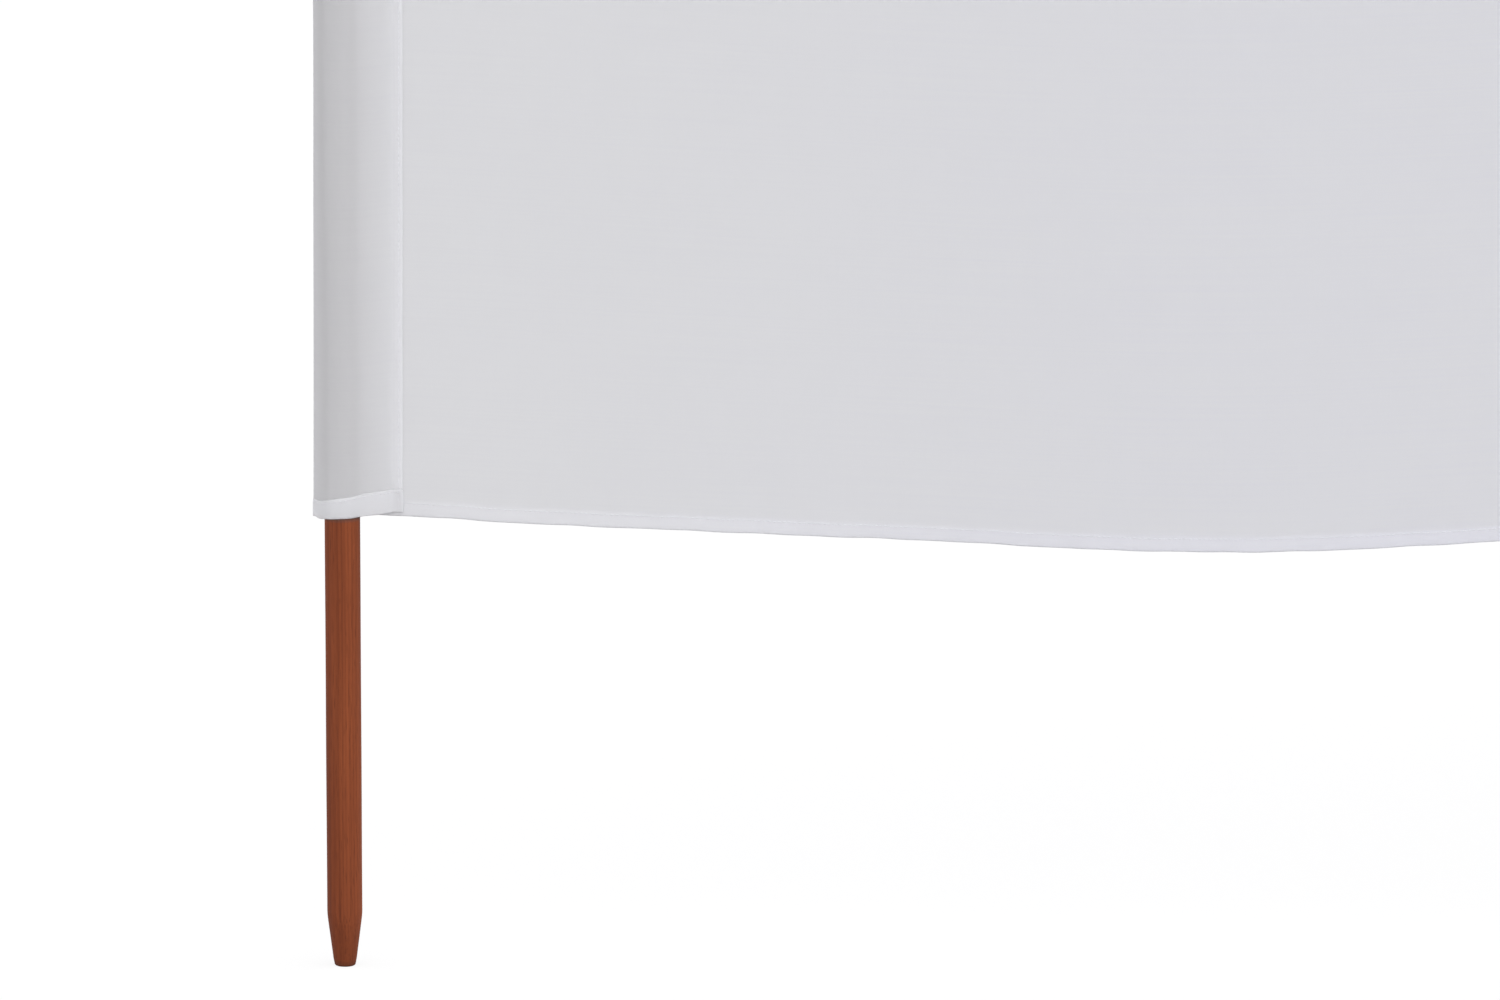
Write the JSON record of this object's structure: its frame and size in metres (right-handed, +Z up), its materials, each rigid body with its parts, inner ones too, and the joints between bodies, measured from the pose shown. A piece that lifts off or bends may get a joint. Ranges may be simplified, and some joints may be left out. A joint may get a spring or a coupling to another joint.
{
  "type": "beach windbreak",
  "caption": "Beach windbreak: a long white cloth screen in bays, hemmed and slightly slack, held upright by tapered brown wooden poles that stand in sewn sleeves.",
  "frame": {"origin": "the centre of the middle pole's flat foot, on the ground line", "axes": "+X along the run of bays, +Y to the back of the cloth so that the sleeves' show side faces -Y, +Z up the poles"},
  "size_m": [7.9968, 0.0318, 1.2],
  "materials": {
    "pole_wood": "red-brown stained, satin",
    "cloth": "white plain weave, matt"
  },
  "bodies": {
    "root": {"pole_1": "pole_wood", "pole_2": "pole_wood", "pole_3": "pole_wood", "pole_4": "pole_wood", "pole_5": "pole_wood", "pole_6": "pole_wood", "pole_7": "pole_wood", "panel_1": "cloth", "panel_2": "cloth", "panel_3": "cloth", "panel_4": "cloth", "panel_5": "cloth", "panel_6": "cloth", "sleeve_1": "cloth", "sleeve_2": "cloth", "sleeve_3": "cloth", "sleeve_4": "cloth", "sleeve_5": "cloth", "sleeve_6": "cloth", "sleeve_7": "cloth"}
  },
  "joints": []
}
